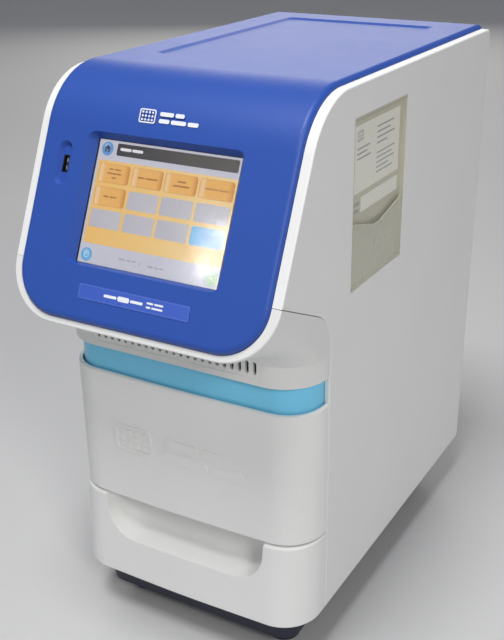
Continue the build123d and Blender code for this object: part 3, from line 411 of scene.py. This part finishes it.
ICON_INK = srgb(52, 66, 92)
HELP_INK = srgb(90, 130, 96)
picture = Sheet("screen_picture", face_point)
picture.shaded(-63.0, 65.0, -33.0, 33.0, 1.5, *layer(1), orange_field, columns=20)
picture.shaded(-47.8, 63.0, 37.7, 47.3, 1.4, *layer(1), title_bar, columns=20)
COLUMNS = ((-61.0, -32.0), (-29.0, -0.9), (1.6, 30.5), (33.0, 62.7))
ROWS = ((16.0, 30.3), (-2.2, 12.0), (-20.0, -5.6))
for row, (s0, s1) in enumerate(ROWS):
    for column, (x0, x1) in enumerate(COLUMNS):
        if row == 0 or (row == 1 and column == 0):
            picture.shaded(x0 - 0.3, x1 + 0.3, s0 - 0.3, s1 + 0.3, 2.2, *layer(2),
                           lambda u: srgb(214, 150, 84))
            picture.shaded(x0, x1, s0, s1, 2.0, *layer(3), orange_button)
        elif row == 2 and column == 3:
            picture.shaded(x0, x1, s0, s1, 1.6, *layer(2), blue_button)
        else:
            picture.shaded(x0, x1, s0, s1, 1.4, *layer(2), grey_button)


def words(x, s, widths, height, tint, k=4, gap=1.0):
    """A line of plain word bars, centred on x."""
    total = sum(widths) + gap * (len(widths) - 1)
    left = x - total / 2
    for width in widths:
        picture.slab(rounded_outline(left, left + width, s - height / 2, s + height / 2,
                                     height * 0.35, 2), *layer(k), tint=tint)
        left += width + gap


BROWN = srgb(188, 128, 68)
words(-46.0, 26.6, (4.2, 6.0), 1.3, BROWN)
words(-46.0, 23.3, (13.5,), 1.3, BROWN)
words(-46.0, 20.0, (4.6,), 1.3, BROWN)
words(-14.5, 23.4, (6.5, 11.0), 1.3, BROWN)
words(16.6, 25.0, (8.0,), 1.3, BROWN)
words(16.6, 21.6, (15.0,), 1.3, BROWN)
words(48.5, 23.2, (11.5, 8.5), 1.3, srgb(206, 152, 96))
words(-46.0, 5.0, (5.0, 6.5), 1.3, BROWN)
words(49.5, -11.6, (3.0, 9.0), 1.2, srgb(96, 150, 206))
words(49.5, -14.6, (6.0,), 1.2, srgb(96, 150, 206))
words(-34.0, 43.0, (10.5, 10.0), 2.2, srgb(246, 246, 250))
words(-18.5, -41.0, (6.2, 4.0, 3.4), 1.4, srgb(176, 176, 186), gap=1.4)
words(8.5, -42.4, (5.0, 3.0, 4.2), 1.4, srgb(176, 176, 186), gap=1.4)
picture.slab(rounded_outline(-6.6, -6.1, -43.2, -40.0, 0.2, 2), *layer(2), tint=srgb(150, 150, 160))


def round_button(x, s, r, edge, body, pale):
    """Glassy round button in three tones."""
    picture.slab(circle_outline(x, s, r), *layer(1), tint=edge)
    picture.slab(circle_outline(x, s, r * 0.86), *layer(2), tint=body)
    picture.slab(circle_outline(x - r * 0.12, s + r * 0.3, r * 0.5), *layer(3), tint=pale)


round_button(-56.9, 42.0, 5.6, srgb(120, 166, 214), srgb(104, 160, 224), srgb(150, 192, 240))
house = [(-59.3, 39.6), (-54.5, 39.6), (-54.5, 42.4), (-53.6, 42.4), (-56.9, 45.2), (-60.2, 42.4),
         (-59.3, 42.4)]
picture.slab(house, *layer(4), tint=ICON_INK)
picture.slab(rounded_outline(-57.6, -56.2, 39.7, 42.0, 0.2, 2), *layer(5), tint=srgb(120, 170, 224))
round_button(-57.7, -42.2, 5.4, srgb(110, 184, 232), srgb(92, 176, 236), srgb(140, 204, 244))
picture.ring(circle_outline(-57.7, -42.2, 2.8), circle_outline(-57.7, -42.2, 2.1), *layer(4),
             tint=srgb(206, 234, 250))
picture.slab(rounded_outline(-58.05, -57.35, -42.6, -39.2, 0.3, 2), *layer(5), tint=srgb(206, 234, 250))
round_button(59.0, -42.1, 5.6, srgb(170, 200, 172), srgb(176, 214, 166), srgb(212, 232, 206))
hook = arc_points(59.0, -40.9, 1.7, 170, -100, -27)
hook_in = arc_points(59.0, -40.9, 0.9, 170, -100, -27)
picture.slab(hook_in + hook[::-1], *layer(4), tint=HELP_INK)
picture.slab(rounded_outline(58.6, 59.4, -44.4, -42.6, 0.15, 2), *layer(4), tint=HELP_INK)
picture.slab(circle_outline(59.0, -45.6, 0.5, 12), *layer(4), tint=HELP_INK)
picture.build([lit("screen_pixels", LIT)], "chassis")

# ---- prints on the cover and the badge ----
white_ink = printed("white_ink", srgb(236, 238, 242), 0.42)
pale_ink = printed("pale_ink", srgb(92, 122, 200), 0.4)
INK = 0.12


def plate_mark(sheet, x, s, width, height, d, thick, mat=0):
    """Generic mark: the outline of a plate with three by four wells."""
    r = height * 0.16
    wall = height * 0.09
    sheet.ring(rounded_outline(x, x + width, s, s + height, r),
               rounded_outline(x + wall, x + width - wall, s + wall, s + height - wall, r - wall * 0.6),
               d, d + thick, mat)
    for column in range(4):
        for row in range(3):
            cx = x + width * (0.2 + 0.2 * column)
            cy = s + height * (0.235 + 0.265 * row)
            sheet.slab(circle_outline(cx, cy, height * 0.085, 16), d, d + thick, mat)


def bar(sheet, x0, x1, s, height, d, thick, mat=0):
    sheet.slab(rounded_outline(x0, x1, s - height / 2, s + height / 2, height * 0.4, 4), d, d + thick, mat)


emblem = Sheet("emblem_print", face_point)
plate_mark(emblem, -27.0, 64.2, 15.0, 10.8, COVER_D, INK)
for x0, x1 in ((-8.5, 4.0), (5.5, 13.5)):
    bar(emblem, x0, x1, 72.2, 3.2, COVER_D, INK)
for x0, x1 in ((-8.5, 1.0), (2.5, 16.0), (17.5, 27.0)):
    bar(emblem, x0, x1, 66.9, 3.2, COVER_D, INK)
emblem.build([white_ink], "chassis")

BADGE_D = COVER_D + 0.4
badge = Sheet("badge_print", face_point)
badge.ring(rounded_outline(-51.0, 51.0, -76.5, -65.5, 1.0), rounded_outline(-50.6, 50.6, -76.1, -65.9, 0.8),
           BADGE_D, BADGE_D + 0.06, 1)
for x0, x1, height in ((-27.0, -15.0, 2.2), (-14.0, -3.0, 4.0), (-2.0, 9.5, 2.2)):
    bar(badge, x0, x1, -71.0, height, BADGE_D, 0.08)
for s, ends in ((-69.4, ((13.0, 19.0), (20.0, 28.0))), (-72.6, ((13.0, 17.0), (18.0, 28.0)))):
    for x0, x1 in ends:
        bar(badge, x0, x1, s, 1.5, BADGE_D, 0.08)
badge.build([white_ink, pale_ink], "chassis")

# ---- contacts on the tongue of the service socket ----
TONGUE_D = COVER_D - 4.6
contacts = Sheet("service_socket_contacts", face_point)
for s0, s1 in ((20.4, 23.6), (26.4, 29.6)):
    contacts.slab(rounded_outline(-90.4, -89.0, s0, s1, 0.3, 3), TONGUE_D, TONGUE_D + 0.1)
contacts.build([metal_socket], "chassis")

# ---- prints in the side pocket ----
grey_ink = printed("grey_ink", srgb(166, 168, 166), 0.5)


def on_side(node):
    """Placer for prints on the outward face of a label: a along Y, b along Z, in mm from its corner."""
    lo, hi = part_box(node)
    return lambda a, b, d: Vector((hi.x + d * MM, lo.y + a * MM, lo.z + b * MM))


def lines(sheet, x0, tops, widths, height):
    for b, width in zip(tops, widths):
        bar(sheet, x0, x0 + width, b, height, 0.0, 0.05)


info = Sheet("info_label_print", on_side("info_label"))
plate_mark(info, 4.0, 41.5, 11.0, 8.0, 0.0, 0.05)
lines(info, 4.0, (35.5, 31.5, 27.5), (24.0, 19.0, 26.0), 1.3)
lines(info, 42.0, (46.0, 41.5, 37.0, 32.5), (34.0, 27.0, 36.0, 21.0), 1.3)
lines(info, 42.0, (24.5, 20.5, 16.5, 12.5, 8.5), (37.0, 31.0, 36.0, 24.0, 33.0), 1.1)
info.build([grey_ink], "chassis")
strip = Sheet("strip_label_print", on_side("strip_label"))
strip_lo, strip_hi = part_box("strip_label")
label_thickness = (strip_hi.x - strip_lo.x) / MM
for b, length in ((8.5, 12.0), (2.8, 10.0)):
    bar(strip, -14.5, -14.5 + length, b, 2.6, -label_thickness, 0.1)
strip.build([grey_ink], "chassis")
card = Sheet("reference_card_print", on_side("reference_card"))
lines(card, 6.0, (42.0, 37.0, 32.0, 27.0, 22.0), (70.0, 62.0, 74.0, 50.0, 66.0), 1.4)
card.build([grey_ink], "guide_card")

# ---- floor, lights, camera ----
FLOOR_HALF = 30.0
floor_mesh = bpy.data.meshes.new("floor")
floor_mesh.from_pydata([(-FLOOR_HALF, -FLOOR_HALF, 0), (FLOOR_HALF, -FLOOR_HALF, 0),
                        (FLOOR_HALF, FLOOR_HALF, 0), (-FLOOR_HALF, FLOOR_HALF, 0)], [], [(0, 1, 2, 3)])
floor = bpy.data.objects.new("floor", floor_mesh)
scene.collection.objects.link(floor)
floor_graph = Graph("floor")
floor_cloud = floor_graph.noise(2.0, 3.0)
floor_mesh.materials.append(floor_graph.shade(
    Base_Color=floor_graph.blend(floor_cloud, (0.55, 0.55, 0.55), (0.60, 0.60, 0.59)), Roughness=0.6))

world = bpy.data.worlds.new("studio")
scene.world = world
world.use_nodes = True
world.node_tree.nodes["Background"].inputs["Color"].default_value = (0.88, 0.91, 1.0, 1.0)
world.node_tree.nodes["Background"].inputs["Strength"].default_value = 0.24
scene.view_settings.view_transform = "Standard"


def softbox(name, place, aim, size, watts, colour=(1.0, 1.0, 1.0)):
    data = bpy.data.lights.new(name, "AREA")
    data.shape = "SQUARE"
    data.size = size
    data.energy = watts
    data.color = colour
    light = bpy.data.objects.new(name, data)
    light.location = place
    light.rotation_euler = (Vector(aim) - Vector(place)).to_track_quat("-Z", "Y").to_euler()
    scene.collection.objects.link(light)


softbox("overhead", (0.0, -0.85, 2.8), (0.0, -0.1, 0.3), 1.0, 52.0, (0.98, 0.98, 1.0))
softbox("key", (1.9, -1.7, 1.9), (0.0, -0.1, 0.25), 0.7, 28.0, (1.0, 0.99, 0.97))
softbox("rear_window", (-1.6, 3.1, 1.5), (0.0, 0.1, 0.5), 1.9, 24.0, (1.0, 0.96, 0.9))
softbox("screen_glare", (-1.13, -2.08, 1.372), (0.06, -0.19, 0.395), 0.2, 1.2)

CAMERA_PLACE = (0.438, -0.7853, 0.659)
LENS_MM, SENSOR_MM = 56.98, 36.0
SHIFT_X, SHIFT_Y = -0.0281, 0.0547
YAW, PITCH, ROLL = math.radians(-29.29), math.radians(-25.89), math.radians(-0.49)
forward = Vector((math.sin(YAW) * math.cos(PITCH), math.cos(YAW) * math.cos(PITCH), math.sin(PITCH)))
level = Vector((math.cos(YAW), -math.sin(YAW), 0.0))
upright = level.cross(forward)
right = level * math.cos(ROLL) + upright * math.sin(ROLL)
up = upright * math.cos(ROLL) - level * math.sin(ROLL)
camera_data = bpy.data.cameras.new("camera")
camera_data.sensor_width = SENSOR_MM
camera_data.lens = LENS_MM
camera_data.shift_x = SHIFT_X
camera_data.shift_y = SHIFT_Y
camera = bpy.data.objects.new("camera", camera_data)
camera.matrix_world = Matrix((
    (right.x, up.x, -forward.x, CAMERA_PLACE[0]),
    (right.y, up.y, -forward.y, CAMERA_PLACE[1]),
    (right.z, up.z, -forward.z, CAMERA_PLACE[2]),
    (0.0, 0.0, 0.0, 1.0)))
scene.collection.objects.link(camera)
scene.camera = camera
